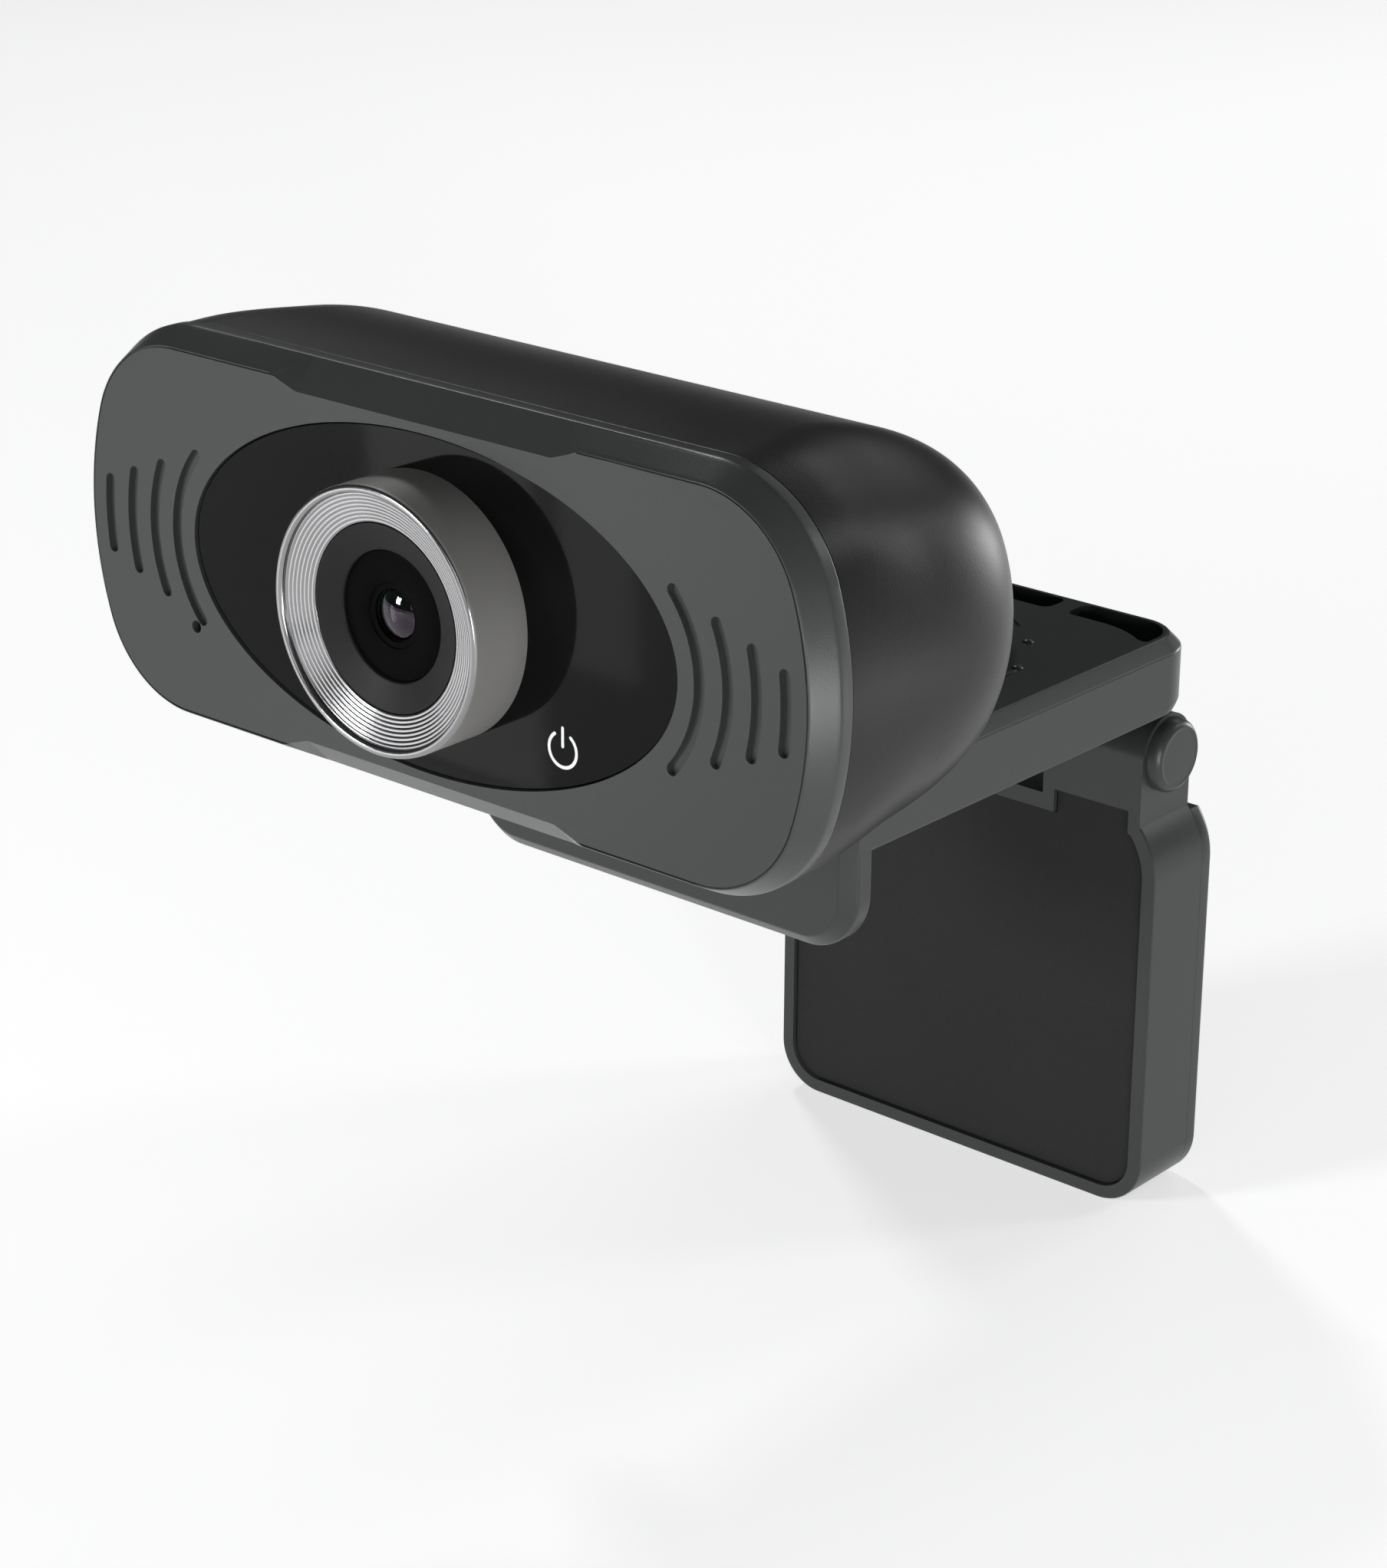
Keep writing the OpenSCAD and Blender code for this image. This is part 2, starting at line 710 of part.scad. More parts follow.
module arm_cover() {
    color([0.1, 0.1, 0.1]) difference() {
        translate([-recess[0] + gap, recess[1] + gap, pad_t])
            cube([2 * (recess[0] - gap), recess[2] - recess[1] - 2 * gap, cover_t]);
        for (sx = [-1, 1]) for (y = [-22, 12]) translate([sx * 17, y, 0]) {
            cylinder(r = 1, h = 5);
            cylinder(r = 1.82, h = pad_t + 0.6);
        }
    }
}

module cover_screws() {
    color([0.6, 0.6, 0.62]) for (sx = [-1, 1]) for (y = [-22, 12]) translate([sx * 17, y, pad_t]) {
        cylinder(r = 1.8, h = 0.6);
        cylinder(r = 0.78, h = 3.8);
    }
}

module rest_pad() {
    color([0.04, 0.04, 0.04]) translate([-recess[0] + gap, recess[1] + gap, 0])
        cube([2 * (recess[0] - gap), recess[2] - recess[1] - 2 * gap, pad_t]);
}

module lip_pad() {
    color([0.04, 0.04, 0.04]) translate([-21, lip_back, -8]) cube([42, 0.5, 7.4]);
}

// Front outline of the leg, with sloping shoulders and round lower corners
module leg_outline(inset = 0) {
    hull() for (sx = [-1, 1]) {
        translate([sx * (leg_hx - leg_shoulder_r), leg_shoulder_z])
            circle(r = leg_shoulder_r - inset, $fn = 48);
        translate([sx * (leg_hx - leg_foot_r), -leg_drop + leg_foot_r])
            circle(r = leg_foot_r - inset, $fn = 32);
    }
}

module upright(y, t) {
    translate([0, y + t, 0]) rotate([90, 0, 0]) linear_extrude(t) children();
}

// The rubber pad's outline: it steps down in the middle, under the hinge gap, and at its outer ends
module pad_outline(grow = 0) {
    step_in = 12.8;
    step_out = 22.9;
    low = leg_top - 2.8;
    difference() {
        intersection() {
            leg_outline(frame_w - grow);
            translate([-40, -80]) square([80, 80 + leg_top + grow]);
        }
        translate([-step_in + grow, low + grow]) square([2 * (step_in - grow), 20]);
        for (sx = [0, 1]) mirror([sx, 0]) translate([step_out + grow, low + grow]) square([20, 20]);
    }
    for (sx = [0, 1]) mirror([sx, 0]) translate([step_in - grow, low - 1])
        square([step_out - step_in + 2 * grow, leg_top - low + 1 + grow - 0.3]);
}

module leg_frame() {
    color([0.27, 0.29, 0.285]) difference() {
        union() {
            upright(leg_front, tab_t) intersection() {
                leg_outline();
                translate([-40, -80]) square([80, 80 + leg_top]);
            }
            both_sides() translate([gap_hx, pin_y, pin_z]) rotate([0, 90, 0])
                cylinder(r = knuckle_r, h = tab_hx - gap_hx);
            both_sides() translate([gap_hx, leg_front, leg_top - 6])
                cube([tab_hx - gap_hx, tab_t, pin_z - leg_top + 6]);
        }
        upright(leg_front - 1, 1 + 1.2) pad_outline(gap);
        translate([-gap_hx, leg_front - 1, leg_top - 0.7]) cube([2 * gap_hx, 20, 20]);
        upright(leg_front + 1.2 + leg_floor, 20) difference() {
            leg_outline(2);
            translate([-40, leg_top - 5]) square([80, 20]);
            for (x = [-19, 19]) for (z = [-22, -54]) translate([x, z]) circle(r = 2.6, $fn = 24);
        }
        crossbar(pin_y, pin_z, pin_r, 40);
        for (x = [-19, 19]) for (z = [-22, -54]) translate([x, leg_front, z]) rotate([-90, 0, 0]) {
            cylinder(r = 1, h = 20);
            cylinder(r = 1.9, h = 2.2);
        }
    }
}

module leg_cover() {
    color([0.24, 0.26, 0.255]) difference() {
        union() {
            upright(leg_back - cover_seat, cover_seat) intersection() {
                leg_outline();
                translate([-40, -80]) square([80, 80 + cover_top]);
            }
            translate([0, leg_back - cover_seat - 3.6, tripod_z]) rotate([-90, 0, 0])
                cylinder(r = 7, h = 4);
        }
        translate([0, leg_front, tripod_z]) rotate([-90, 0, 0]) cylinder(r = 4.5, h = 20);
        for (x = [-19, 19]) for (z = [-22, -54]) translate([x, leg_back - cover_seat - 1, z])
            rotate([-90, 0, 0]) cylinder(r = 0.8, h = 2.6);
    }
}

module leg_screws() {
    color([0.6, 0.6, 0.62]) for (x = [-19, 19]) for (z = [-22, -54])
        translate([x, leg_front + 1.3, z]) rotate([-90, 0, 0]) {
            cylinder(r = 1.8, h = 0.9);
            cylinder(r = 0.78, h = 9);
        }
}

module leg_pad() {
    color([0.05, 0.05, 0.052]) upright(leg_front + 0.5, 0.7) pad_outline();
}

module tripod_insert() {
    color([0.72, 0.6, 0.3]) translate([0, leg_back, tripod_z]) rotate([90, 0, 0]) difference() {
        union() {
            cylinder(r = 4.5, h = 6);
            translate([0, 0, 6]) cylinder(r = 6, h = 1.4);
        }
        translate([0, 0, -1]) cylinder(r = thread_r, h = 7.4);
    }
}

module hinge_pin() {
    color([0.5, 0.5, 0.52]) crossbar(pin_y, pin_z, pin_r, tab_hx);
}

module hinge_bush() {
    color([0.85, 0.85, 0.82]) difference() {
        crossbar(pin_y, pin_z, pin_r + 1, knuckle_hx);
        crossbar(pin_y, pin_z, pin_r + fit, 40);
    }
}

module hinge_caps() {
    color([0.2, 0.21, 0.21]) both_sides() translate([tab_hx, pin_y, pin_z]) rotate([0, 90, 0])
        rotate_extrude() polygon([[0, 0], [4.3, 0], [4.3, 0.9], [3.9, 1.5], [3.45, 1.8], [0, 1.8]]);
}

front_bezel();
glossy_panel();
power_icon();
touch_board();
status_led();
lens_ring();
ring_nut();
baffle_ring();
aperture_disc();
front_lens();
lens_barrel();
rear_lens();
lens_holder();
ir_filter();
image_sensor();
camera_board();
board_link();
main_board();
controller_chip();
usb_header();
board_spacers();
board_screws();
microphone();
mic_boot();
rear_shell();
cable_gland();
tilt_bracket();
bracket_screws();
tilt_pin();
tilt_washers();
neck();
swivel_stud();
swivel_washer();
swivel_nut();
glide_ring();
clip_arm();
arm_cover();
cover_screws();
rest_pad();
lip_pad();
leg_frame();
leg_cover();
leg_screws();
leg_pad();
tripod_insert();
hinge_pin();
hinge_bush();
hinge_caps();
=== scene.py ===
import json
import math
import bpy
import bmesh
from mathutils import Matrix, Vector


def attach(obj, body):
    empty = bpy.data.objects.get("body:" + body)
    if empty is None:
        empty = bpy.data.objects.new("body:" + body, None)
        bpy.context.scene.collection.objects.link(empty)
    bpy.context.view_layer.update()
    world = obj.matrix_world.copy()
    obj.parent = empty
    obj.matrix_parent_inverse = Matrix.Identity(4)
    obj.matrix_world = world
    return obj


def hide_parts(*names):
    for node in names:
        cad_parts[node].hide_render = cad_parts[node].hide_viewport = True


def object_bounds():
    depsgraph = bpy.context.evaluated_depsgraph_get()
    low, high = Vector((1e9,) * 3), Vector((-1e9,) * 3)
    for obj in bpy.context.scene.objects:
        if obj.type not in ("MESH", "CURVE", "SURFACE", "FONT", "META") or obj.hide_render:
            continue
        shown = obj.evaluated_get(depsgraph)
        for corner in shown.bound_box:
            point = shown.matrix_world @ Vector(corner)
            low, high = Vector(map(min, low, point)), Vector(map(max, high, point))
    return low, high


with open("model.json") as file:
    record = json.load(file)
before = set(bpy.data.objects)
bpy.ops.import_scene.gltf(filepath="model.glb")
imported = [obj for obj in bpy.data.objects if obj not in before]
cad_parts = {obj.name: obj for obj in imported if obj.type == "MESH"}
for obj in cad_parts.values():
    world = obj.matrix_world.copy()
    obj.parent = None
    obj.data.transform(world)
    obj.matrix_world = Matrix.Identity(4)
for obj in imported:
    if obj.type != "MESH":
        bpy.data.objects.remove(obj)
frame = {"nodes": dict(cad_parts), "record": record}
cad_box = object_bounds()
nodes = frame["nodes"]

# Sizes are in millimetres, in the part's own frame: X across, Y to the back, Z up.
# The head's front face is at FACE_Y, and the lens axis runs along Y at the height HEAD_Z.
MM = 0.001
FACE_Y = -67.0
HEAD_Z = 30.1


# ---------------------------------------------------------------- camera

def add_camera():
    """The camera looks down at the head from the front and the right, with a very small roll."""
    azimuth, elevation, roll = math.radians(40.77), math.radians(21.45), math.radians(0.283)
    back = Vector((math.sin(azimuth) * math.cos(elevation),
                   -math.cos(azimuth) * math.cos(elevation), math.sin(elevation)))
    level = Vector((math.cos(azimuth), math.sin(azimuth), 0.0))
    up = back.cross(level)
    right = level * math.cos(roll) + up * math.sin(roll)
    up = up * math.cos(roll) - level * math.sin(roll)
    camera = bpy.data.objects.new("camera", bpy.data.cameras.new("camera"))
    bpy.context.scene.collection.objects.link(camera)
    turn = Matrix((right, up, back)).transposed().to_4x4()
    camera.matrix_world = Matrix.Translation((0.24766, -0.31422, 0.14891)) @ turn
    camera.data.sensor_width = 36.0
    camera.data.lens = 87.79
    camera.data.clip_start = 0.01
    camera.data.clip_end = 20.0
    bpy.context.scene.camera = camera


add_camera()


# ---------------------------------------------------------------- mesh helpers

def add_mesh(name, bm, material, body=None):
    """Makes an object from a mesh, gives it its material, and attaches it to what it rides on."""
    bmesh.ops.recalc_face_normals(bm, faces=bm.faces)
    mesh = bpy.data.meshes.new(name)
    bm.to_mesh(mesh)
    bm.free()
    obj = bpy.data.objects.new(name, mesh)
    bpy.context.scene.collection.objects.link(obj)
    if material:
        mesh.materials.append(material)
    if body:
        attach(obj, body)
    return obj


def loft(rings, close=False):
    """Joins rings of points, each the same length, and caps the ends unless the rings close on themselves."""
    bm = bmesh.new()
    grid = [[bm.verts.new([c * MM for c in p]) for p in ring] for ring in rings]
    count = len(rings[0])
    pairs = list(zip(grid, grid[1:])) + ([(grid[-1], grid[0])] if close else [])
    for a, b in pairs:
        for i in range(count):
            j = (i + 1) % count
            bm.faces.new((a[i], a[j], b[j], b[i]))
    if not close:
        bm.faces.new(grid[0][::-1])
        bm.faces.new(grid[-1])
    return bm


def revolve(profile, steps=192, close=True):
    """Turns (radius, depth behind the face) points round the lens axis."""
    rings = []
    for r, y in profile:
        rings.append([(r * math.cos(math.tau * i / steps), FACE_Y + y,
                       HEAD_Z + r * math.sin(math.tau * i / steps)) for i in range(steps)])
    return loft(rings, close)


def bake(obj):
    """Applies an object's modifiers to its mesh."""
    graph = bpy.context.evaluated_depsgraph_get()
    mesh = bpy.data.meshes.new_from_object(obj.evaluated_get(graph))
    old = obj.data
    obj.modifiers.clear()
    obj.data = mesh
    bpy.data.meshes.remove(old)


def combine(obj, bm, operation="DIFFERENCE"):
    """Cuts a mesh out of an object, or joins it on."""
    other = add_mesh("cutter", bm, None)
    mod = obj.modifiers.new("combine", "BOOLEAN")
    mod.operation = operation
    mod.object = other
    mod.solver = "EXACT"
    bake(obj)
    mesh = other.data
    bpy.data.objects.remove(other)
    bpy.data.meshes.remove(mesh)


def soften(obj, width, segments=2):
    """Rounds an object's sharp edges and shades it smoothly."""
    bm = bmesh.new()
    bm.from_mesh(obj.data)
    bmesh.ops.remove_doubles(bm, verts=bm.verts, dist=0.002 * MM)
    bmesh.ops.dissolve_limit(bm, angle_limit=math.radians(0.05), verts=bm.verts, edges=bm.edges)
    bm.to_mesh(obj.data)
    bm.free()
    mod = obj.modifiers.new("round", "BEVEL")
    mod.width = width * MM
    mod.segments = segments
    mod.limit_method = "ANGLE"
    mod.angle_limit = math.radians(34)
    mod.harden_normals = False
    mod.use_clamp_overlap = True
    bake(obj)
    smooth(obj)


def smooth(obj, angle=35):
    """Shades an object smoothly, apart from edges sharper than the angle."""
    for face in obj.data.polygons:
        face.use_smooth = True
    obj.data.set_sharp_from_angle(angle=math.radians(angle))
    mod = obj.modifiers.new("normals", "WEIGHTED_NORMAL")
    mod.keep_sharp = True
    mod.weight = 60
    bake(obj)


def arc(cx, cz, r, start, end, steps):
    """Points on a circle's arc, between two angles in degrees."""
    return [(cx + r * math.cos(math.radians(start + (end - start) * i / steps)),
             cz + r * math.sin(math.radians(start + (end - start) * i / steps))) for i in range(steps + 1)]


def circle(cx, cz, r, count):
    """A whole circle of so many points."""
    return arc(cx, cz, r, 0, 360 - 360 / count, count - 1)


def prism_y(outline, y0, y1):
    """An outline in the X-Z plane, carried along Y."""
    return loft([[(x, y, z) for x, z in outline] for y in (y0, y1)])


def prism_z(outline, z0, z1):
    """An outline in the X-Y plane, carried along Z."""
    return loft([[(x, y, z) for x, y in outline] for z in (z0, z1)])


def prism_x(outline, x0, x1):
    """An outline in the Y-Z plane, carried along X."""
    return loft([[(x, y, z) for y, z in outline] for x in (x0, x1)])


def rect(x0, x1, y0, y1):
    return [(x0, y0), (x1, y0), (x1, y1), (x0, y1)]


def shift(outline, dx, dz):
    return [(x + dx, z + dz) for x, z in outline]


# ---------------------------------------------------------------- materials

def node_of(tree, kind, **values):
    """Adds a shader node, with values for its sockets or, where it has no such socket, its settings."""
    node = tree.nodes.new(kind)
    for key, value in values.items():
        if key in node.inputs:
            node.inputs[key].default_value = value
        else:
            setattr(node, key, value)
    return node


def surface(name, color, roughness, metallic=0.0, spread=0.12, grain=900.0, bump=0.03,
            rough_spread=0.06, blotch=60.0, specular=0.5, coat=0.0):
    """A plastic, rubber or metal: broad colour drift, fine grain in the gloss, and a fine bump."""
    mat = bpy.data.materials.new(name)
    mat.use_nodes = True
    tree = mat.node_tree
    shader = tree.nodes["Principled BSDF"]
    shader.inputs["Metallic"].default_value = metallic
    shader.inputs["Specular IOR Level"].default_value = specular
    shader.inputs["Coat Weight"].default_value = coat
    shader.inputs["Coat Roughness"].default_value = 0.08
    where = tree.nodes.new("ShaderNodeTexCoord").outputs["Object"]
    broad = node_of(tree, "ShaderNodeTexNoise", Scale=blotch, Detail=3.0, Roughness=0.55)
    fine = node_of(tree, "ShaderNodeTexNoise", Scale=grain, Detail=2.0, Roughness=0.6)
    tree.links.new(where, broad.inputs["Vector"])
    tree.links.new(where, fine.inputs["Vector"])
    shades = node_of(tree, "ShaderNodeMix", data_type="RGBA")
    shades.inputs["A"].default_value = [c * (1 - spread) for c in color] + [1.0]
    shades.inputs["B"].default_value = [min(1.0, c * (1 + spread)) for c in color] + [1.0]
    half = node_of(tree, "ShaderNodeMath", operation="MULTIPLY")
    half.inputs[1].default_value = 0.5
    tree.links.new(fine.outputs["Fac"], half.inputs[0])
    mixed = node_of(tree, "ShaderNodeMath", operation="MULTIPLY_ADD")
    mixed.inputs[1].default_value = 0.5
    tree.links.new(broad.outputs["Fac"], mixed.inputs[0])
    tree.links.new(half.outputs[0], mixed.inputs[2])
    tree.links.new(mixed.outputs[0], shades.inputs["Factor"])
    tree.links.new(shades.outputs["Result"], shader.inputs["Base Color"])
    least, most = max(0.02, roughness - rough_spread), min(1.0, roughness + rough_spread)
    rough = node_of(tree, "ShaderNodeMapRange", **{"From Min": 0.25, "From Max": 0.75,
                                                   "To Min": least, "To Max": most})
    tree.links.new(mixed.outputs[0], rough.inputs["Value"])
    tree.links.new(rough.outputs["Result"], shader.inputs["Roughness"])
    if bump:
        relief = node_of(tree, "ShaderNodeBump", Strength=bump, Distance=0.0001)
        tree.links.new(fine.outputs["Fac"], relief.inputs["Height"])
        tree.links.new(relief.outputs["Normal"], shader.inputs["Normal"])
    return mat


def glass(name, color, coat_tint, tint=(1.0, 1.0, 1.0), coat=0.6, transmission=1.0):
    """Coated optical glass: the coating tints what it reflects."""
    mat = surface(name, color, 0.02, bump=0.0, spread=0.05, rough_spread=0.01, blotch=200.0,
                  specular=0.32)
    shader = mat.node_tree.nodes["Principled BSDF"]
    shader.inputs["Transmission Weight"].default_value = transmission
    shader.inputs["IOR"].default_value = 1.52
    shader.inputs["Coat Weight"].default_value = coat
    shader.inputs["Specular Tint"].default_value = (*tint, 1.0)
    shader.inputs["Coat Roughness"].default_value = 0.03
    shader.inputs["Coat Tint"].default_value = (*coat_tint, 1.0)
    return mat


plastic = surface("charcoal_plastic", (0.039, 0.043, 0.0417), 0.33, spread=0.05, bump=0.12, grain=5200.0,
                  specular=0.28)
clip_plastic = surface("clip_plastic", (0.0315, 0.035, 0.034), 0.33, spread=0.06, bump=0.12, grain=5200.0,
                       specular=0.28)
dark_plastic = surface("dark_plastic", (0.0058, 0.0058, 0.006), 0.36, spread=0.1, bump=0.16, grain=5200.0,
                       specular=0.22)
bracket_black = surface("black_plastic", (0.016, 0.016, 0.017), 0.45, spread=0.1, bump=0.1, grain=5200.0)
gloss_black = surface("gloss_black", (0.004, 0.004, 0.0045), 0.06, spread=0.2, bump=0.0,
                      rough_spread=0.02, specular=0.08)
rubber = surface("black_rubber", (0.011, 0.011, 0.0112), 0.75, spread=0.12, bump=0.3, grain=6500.0,
                 specular=0.3)
white_icon = surface("white_diffuser", (0.78, 0.79, 0.8), 0.4, spread=0.03, bump=0.02)
silver = surface("satin_silver", (0.3, 0.3, 0.305), 0.2, metallic=1.0, spread=0.05, bump=0.05, grain=3000.0)
sleeve = surface("brushed_sleeve", (0.215, 0.212, 0.205), 0.5, metallic=0.35, spread=0.06, bump=0.08,
                 grain=2500.0)
anodised = surface("dark_anodised", (0.0085, 0.0085, 0.0088), 0.5, spread=0.1, bump=0.08, grain=4200.0,
                   specular=0.18)
disc_black = surface("disc_black", (0.0015, 0.0015, 0.0016), 0.45, spread=0.2, bump=0.03, grain=4200.0,
                     specular=0.02)
steel = surface("zinc_steel", (0.55, 0.55, 0.56), 0.32, metallic=1.0, spread=0.08, bump=0.08, grain=2600.0)
brass = surface("brass", (0.72, 0.53, 0.24), 0.3, metallic=1.0, spread=0.08, bump=0.06, grain=2600.0)
board = surface("board_green", (0.02, 0.12, 0.05), 0.35, spread=0.2, bump=0.1, grain=1500.0)
chip = surface("chip_black", (0.02, 0.02, 0.02), 0.5, spread=0.15, bump=0.1, grain=3500.0)
nylon = surface("cream_nylon", (0.66, 0.63, 0.52), 0.45, spread=0.06, bump=0.06, grain=2600.0)
silicon = surface("silicon", (0.06, 0.09, 0.16), 0.12, spread=0.25, bump=0.02, grain=3500.0, coat=0.5)
lens_glass = glass("lens_glass", (0.6, 0.63, 0.61), coat_tint=(0.9, 0.8, 0.95), tint=(0.8, 0.62, 0.86),
                   coat=0.2)
inner_glass = glass("inner_glass", (0.005, 0.022, 0.009), coat_tint=(0.5, 1.0, 0.6), tint=(0.3, 1.0, 0.42),
                    coat=0.3, transmission=0.0)
rear_glass = glass("rear_glass", (0.62, 0.6, 0.78), coat_tint=(0.8, 0.6, 0.95))

# The material for each slot in the record, which every CAD node that stays in view takes.
finish = {
    "charcoal_plastic": plastic, "black_plastic": dark_plastic, "gloss_black": gloss_black,
    "white_diffuser": white_icon, "satin_silver": silver, "dark_anodised": anodised,
    "coated_glass": lens_glass, "filter_glass": rear_glass, "silicon": silicon,
    "board_green": board, "chip_black": chip, "cream_nylon": nylon, "brass": brass,
    "zinc_steel": steel, "black_rubber": rubber, "dark_metal": bracket_black,
}
for part in frame["record"]["subparts"]:
    obj = nodes[part["node"]]
    obj.data.materials.clear()
    obj.data.materials.append(finish[part["material_slot"]])


# ---------------------------------------------------------------- head

def barrel(hx, hz, end_r, corner_r, steps=40):
    """The head's outline: straight top and bottom, arcs of large radius at the ends, smaller ones between."""
    rise = hz - corner_r
    cx = hx - end_r + math.sqrt(max(0.0, (end_r - corner_r) ** 2 - rise ** 2))
    turn = math.degrees(math.atan2(rise, cx - hx + end_r))
    end = arc(hx - end_r, 0, end_r, 0, turn, steps)
    corner = arc(cx, rise, corner_r, turn, 90, steps)
    first = end + corner[1:]
    second = [(-x, z) for x, z in first[::-1]]
    third = [(-x, -z) for x, z in first[1:]]
    fourth = [(x, -z) for x, z in first[::-1][:-1]]
    return first + second + third + fourth


def head_ring(outline, depth):
    return [(x, FACE_Y + depth, HEAD_Z + z) for x, z in outline]


# The face's half width and height, what the bevel adds to each, and how deep it is.
FACE_HX, FACE_HZ, CREST_X, CREST_Z, CREST_Y = 47.95, 19.5, 1.4, 1.6, 3.0
# The radii of the face's ends and corners, and what the bevel adds to them.
END_R, CORNER_R, CREST_ROUND = 36.0, 12.0, 2.0
# The bezel ends and the rear shell starts RIM_Y behind the face.
RIM_Y = 4.6
SHELL_HX, SHELL_HZ, SHELL_Y, SHELL_DEPTH = 49.15, 21.0, 8.0, 35.0
# The dip in the middle of each bevel: its height, its half width inside and out, and how tall its cut is.
DIP_HZ, DIP_IN, DIP_OUT, DIP_RISE = 18.17, 16.9, 20.8, 2.74
PANEL_HX, PANEL_HZ, PANEL_GAP, PANEL_REAR = 32.4, 17.15, 0.1, 1.6
NECK_R = 12.0
MIC_X, MIC_Z, MIC_R = -32.83, -9.68, 0.66
# The bowed grooves, outermost first: half height and radius of each.
GROOVES = ((3.6, 30.5), (5.1, 22.0), (6.7, 16.5), (8.7, 13.25))
GROOVE_X, GROOVE_PITCH, GROOVE_WIDTH, GROOVE_DEPTH = 45.3, 3.4, 1.3, 0.6
POST_X, POST_Z, POST_R = 37, 8, 2.4


def bezel_ring(t, depth, inset=0.0):
    """The bezel's outline: t goes from 0 at the face to 1 at the bevel's outer edge."""
    return head_ring(barrel(FACE_HX + CREST_X * t - inset, FACE_HZ + CREST_Z * t - inset,
                            END_R + CREST_ROUND * t - inset, CORNER_R + CREST_ROUND * t - inset), depth)


def oval(hx, hz, steps=256):
    """An ellipse's points, from its half width and half height."""
    return [(hx * math.cos(math.tau * i / steps), hz * math.sin(math.tau * i / steps)) for i in range(steps)]


def groove(x, half, r, width, side):
    """Outline of one bowed groove with round ends, on one side of the head."""
    spread = math.degrees(math.asin(half / r))
    cx, w = x - r, width / 2
    out = arc(cx, 0, r + w, -spread, spread, 20)
    top = arc(cx + r * math.cos(math.radians(spread)), half, w, spread, spread + 180, 8)
    back = arc(cx, 0, r - w, spread, -spread, 20)
    low = arc(cx + r * math.cos(math.radians(spread)), -half, w, 180 - spread, 360 - spread, 8)
    points = out + top[1:] + back[1:] + low[1:-1]
    return [(side * px, pz) for px, pz in (points if side > 0 else points[::-1])]


def make_bezel():
    """The front bezel, with its dips, grooves and holes, and a fine seam round its face."""
    rings = [bezel_ring(-0.05, 0.0), bezel_ring(-0.02, 0.015), bezel_ring(0.03, 0.1)]
    rings += [bezel_ring(t, CREST_Y * t) for t in (0.12, 0.5, 0.84)]
    rings += [bezel_ring(t, CREST_Y + d) for t, d in ((0.93, -0.2), (0.975, -0.03), (0.995, 0.15), (1, 0.4))]
    rings += [bezel_ring(1, RIM_Y - 0.2), bezel_ring(0.97, RIM_Y - 0.05), bezel_ring(0.9, RIM_Y)]
    rings += [bezel_ring(1, RIM_Y, 2.0), bezel_ring(1, 3.0, 2.0)]
    obj = add_mesh("front_bezel_skin", loft(rings), plastic, "head")
    slope = (FACE_HZ + CREST_Z - DIP_HZ) / CREST_Y
    flare = DIP_RISE * (DIP_OUT - DIP_IN) / (FACE_HZ - DIP_HZ)
    for side in (-1, 1):
        wedge = []
        for y in (-1.0, CREST_Y + 0.6):
            z = DIP_HZ + slope * y
            top = z + DIP_RISE
            corners = ((-DIP_IN, z), (DIP_IN, z), (DIP_IN + flare, top), (-DIP_IN - flare, top))
            wedge.append([(x, FACE_Y + y, HEAD_Z + side * z) for x, z in corners])
        combine(obj, loft(wedge))
    recess = oval(PANEL_HX + PANEL_GAP, PANEL_HZ + PANEL_GAP)
    combine(obj, prism_y(shift(recess, 0, HEAD_Z), FACE_Y - 1, FACE_Y + PANEL_REAR))
    combine(obj, prism_y(shift(oval(NECK_R, NECK_R, 96), 0, HEAD_Z), FACE_Y - 1, FACE_Y + 5))
    combine(obj, prism_y(shift(oval(MIC_R, MIC_R, 32), MIC_X, HEAD_Z + MIC_Z), FACE_Y - 1, FACE_Y + 6))
    for i, (half, r) in enumerate(GROOVES):
        for side in (-1, 1):
            line = groove(GROOVE_X - GROOVE_PITCH * i, half, r, GROOVE_WIDTH, side)
            combine(obj, prism_y(shift(line, 0, HEAD_Z), FACE_Y - 1, FACE_Y + GROOVE_DEPTH))
    for sx in (-1, 1):
        for sz in (-1, 1):
            post = circle(sx * POST_X, HEAD_Z + sz * POST_Z, POST_R, 24)
            combine(obj, prism_y(post, FACE_Y + 2.5, FACE_Y + 22), "UNION")
    soften(obj, 0.16, 3)
    seam = [bezel_ring(t, depth) for t, depth in ((-0.2, -0.1), (-0.06, -0.1), (-0.09, 0.2), (-0.17, 0.2))]
    combine(obj, loft(seam, close=True))
    smooth(obj)
    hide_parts("front_bezel")


def shell_ring(u, inset):
    """The rear shell's outline: u goes from 0 at its front to 1 at its back, where it closes."""
    x = (SHELL_HX - inset) * (1 - u ** 4.2) ** (1 / 4.2)
    z = (SHELL_HZ - inset) * (1 - u ** 2.3) ** (1 / 2.3)
    blend = min(1.0, 3 * u)
    blend = blend * blend * (3 - 2 * blend)
    k = z / (SHELL_HZ - inset)
    return barrel(x, z, (38 - 10 * blend) * k, (14 + 3 * blend) * k)


